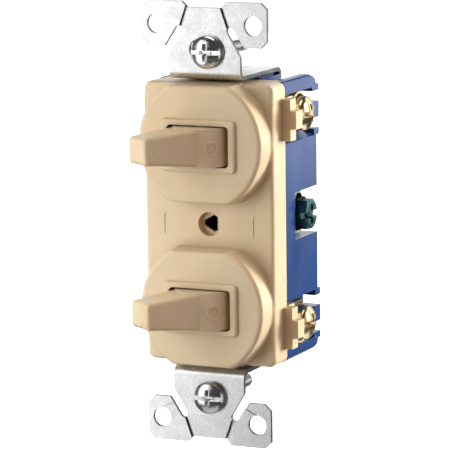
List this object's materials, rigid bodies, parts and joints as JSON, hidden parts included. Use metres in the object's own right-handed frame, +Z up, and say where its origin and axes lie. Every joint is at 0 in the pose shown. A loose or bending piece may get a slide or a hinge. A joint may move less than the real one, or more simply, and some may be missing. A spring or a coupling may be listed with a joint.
{
  "type": "toggle wall switch",
  "caption": "Double toggle wall switch: ivory front with sideways levers, blue rear body, wrap-round steel strap with ears, brass side screw terminals, green ground screw.",
  "frame": {"origin": "midway between the two mounting screw positions, on the plane of the rear faces of the strap's ears", "axes": "+Z up, +X to the right seen from the front, the levers and cover face -Y, the terminals and strap run to +Y"},
  "size_m": [0.0405, 0.0482, 0.1062],
  "materials": {
    "black_plate": "black oxide",
    "blue_plastic": "moulded thermoset, satin",
    "brass": "stamped, semi-bright",
    "bright_steel": "bright plated",
    "card": "pressed fibre",
    "green_screw": "green dyed plating",
    "ivory_plastic": "moulded, satin",
    "silver_alloy": "silver contact alloy, bright",
    "white_nylon": "moulded acetal",
    "zinc_plated_steel": "zinc plated, lightly mottled"
  },
  "bodies": {
    "switch_frame": {"mounting_strap": "zinc_plated_steel", "front_cover": "ivory_plastic", "rear_body": "blue_plastic", "line_terminal_bar": "brass", "wallplate_screw_insert": "black_plate", "upper_fixed_contact": "silver_alloy", "upper_load_terminal": "brass", "upper_assembly_rivet": "bright_steel", "upper_screw_retainer": "card", "lower_fixed_contact": "silver_alloy", "lower_load_terminal": "brass", "lower_assembly_rivet": "bright_steel", "lower_screw_retainer": "card"},
    "upper_toggle_body": {"upper_toggle": "ivory_plastic", "upper_toggle_spring": "bright_steel", "upper_plunger": "white_nylon"},
    "upper_rocker_body": {"upper_rocker_arm": "brass", "upper_moving_contact": "silver_alloy"},
    "upper_load_clamp": {"upper_load_clamp_plate": "brass"},
    "upper_load_screw": {"upper_load_terminal_screw": "brass"},
    "upper_line_clamp": {"upper_line_clamp_plate": "brass"},
    "upper_line_screw": {"upper_line_terminal_screw": "brass"},
    "upper_mounting_screw_body": {"upper_mounting_screw": "bright_steel"},
    "lower_toggle_body": {"lower_toggle": "ivory_plastic", "lower_toggle_spring": "bright_steel", "lower_plunger": "white_nylon"},
    "lower_rocker_body": {"lower_rocker_arm": "brass", "lower_moving_contact": "silver_alloy"},
    "lower_load_clamp": {"lower_load_clamp_plate": "brass"},
    "lower_load_screw": {"lower_load_terminal_screw": "brass"},
    "lower_line_clamp": {"lower_line_clamp_plate": "brass"},
    "lower_line_screw": {"lower_line_terminal_screw": "brass"},
    "lower_mounting_screw_body": {"lower_mounting_screw": "bright_steel"},
    "ground_clamp": {"ground_clamp_plate": "black_plate"},
    "ground_screw_body": {"ground_screw": "green_screw"}
  },
  "joints": [
    {"name": "upper_toggle_throw", "type": "hinge", "parent": "switch_frame", "child": "upper_toggle_body", "pos_m": [0, -0.0032, 0.01945], "axis": [0, 0, 1], "range_deg": [0, 66]},
    {"name": "upper_rocker_tilt", "type": "hinge", "parent": "switch_frame", "child": "upper_rocker_body", "pos_m": [0, 0.0113, 0.01945], "axis": [0, 0, 1], "range_deg": [-13.3, 0.1]},
    {"name": "upper_load_clamp_lift", "type": "slide", "parent": "switch_frame", "child": "upper_load_clamp", "axis": [1, 0, 0], "range_m": [-0.00059, 0.00158]},
    {"name": "upper_load_screw_turn", "type": "hinge", "parent": "upper_load_clamp", "child": "upper_load_screw", "pos_m": [0.017, 0.0164, 0.02535], "axis": [-1, 0, 0], "range_deg": [-720, 270]},
    {"name": "upper_line_clamp_lift", "type": "slide", "parent": "switch_frame", "child": "upper_line_clamp", "axis": [-1, 0, 0], "range_m": [-0.00059, 0.00158]},
    {"name": "upper_line_screw_turn", "type": "hinge", "parent": "upper_line_clamp", "child": "upper_line_screw", "pos_m": [-0.017, 0.0164, 0.02535], "axis": [1, 0, 0], "range_deg": [-720, 270]},
    {"name": "upper_mounting_screw_slide", "type": "slide", "parent": "switch_frame", "child": "upper_mounting_screw_body", "axis": [0, -1, 0], "range_m": [0, 0.014]},
    {"name": "lower_toggle_throw", "type": "hinge", "parent": "switch_frame", "child": "lower_toggle_body", "pos_m": [0, -0.0032, -0.01945], "axis": [0, 0, 1], "range_deg": [0, 66]},
    {"name": "lower_rocker_tilt", "type": "hinge", "parent": "switch_frame", "child": "lower_rocker_body", "pos_m": [0, 0.0113, -0.01945], "axis": [0, 0, 1], "range_deg": [-13.3, 0.1]},
    {"name": "lower_load_clamp_lift", "type": "slide", "parent": "switch_frame", "child": "lower_load_clamp", "axis": [1, 0, 0], "range_m": [-0.00059, 0.00158]},
    {"name": "lower_load_screw_turn", "type": "hinge", "parent": "lower_load_clamp", "child": "lower_load_screw", "pos_m": [0.017, 0.0164, -0.02535], "axis": [-1, 0, 0], "range_deg": [-720, 270]},
    {"name": "lower_line_clamp_lift", "type": "slide", "parent": "switch_frame", "child": "lower_line_clamp", "axis": [-1, 0, 0], "range_m": [-0.00059, 0.00158]},
    {"name": "lower_line_screw_turn", "type": "hinge", "parent": "lower_line_clamp", "child": "lower_line_screw", "pos_m": [-0.017, 0.0164, -0.02535], "axis": [1, 0, 0], "range_deg": [-720, 270]},
    {"name": "lower_mounting_screw_slide", "type": "slide", "parent": "switch_frame", "child": "lower_mounting_screw_body", "axis": [0, -1, 0], "range_m": [0, 0.014]},
    {"name": "ground_clamp_lift", "type": "slide", "parent": "switch_frame", "child": "ground_clamp", "axis": [1, 0, 0], "range_m": [-0.0005, 0.00158]},
    {"name": "ground_screw_turn", "type": "hinge", "parent": "ground_clamp", "child": "ground_screw_body", "pos_m": [0.017, 0.0176, 0.0009], "axis": [-1, 0, 0], "range_deg": [-720, 230]}
  ],
  "couplings": [
    {"joint": "upper_rocker_tilt", "follows": "upper_toggle_throw", "ratio": -0.2},
    {"joint": "upper_load_screw_turn", "follows": "upper_load_clamp_lift", "rad_per_m": -7913.3},
    {"joint": "upper_line_screw_turn", "follows": "upper_line_clamp_lift", "rad_per_m": -7913.3},
    {"joint": "lower_rocker_tilt", "follows": "lower_toggle_throw", "ratio": -0.2},
    {"joint": "lower_load_screw_turn", "follows": "lower_load_clamp_lift", "rad_per_m": -7913.3},
    {"joint": "lower_line_screw_turn", "follows": "lower_line_clamp_lift", "rad_per_m": -7913.3},
    {"joint": "ground_screw_turn", "follows": "ground_clamp_lift", "rad_per_m": -7913.3}
  ]
}
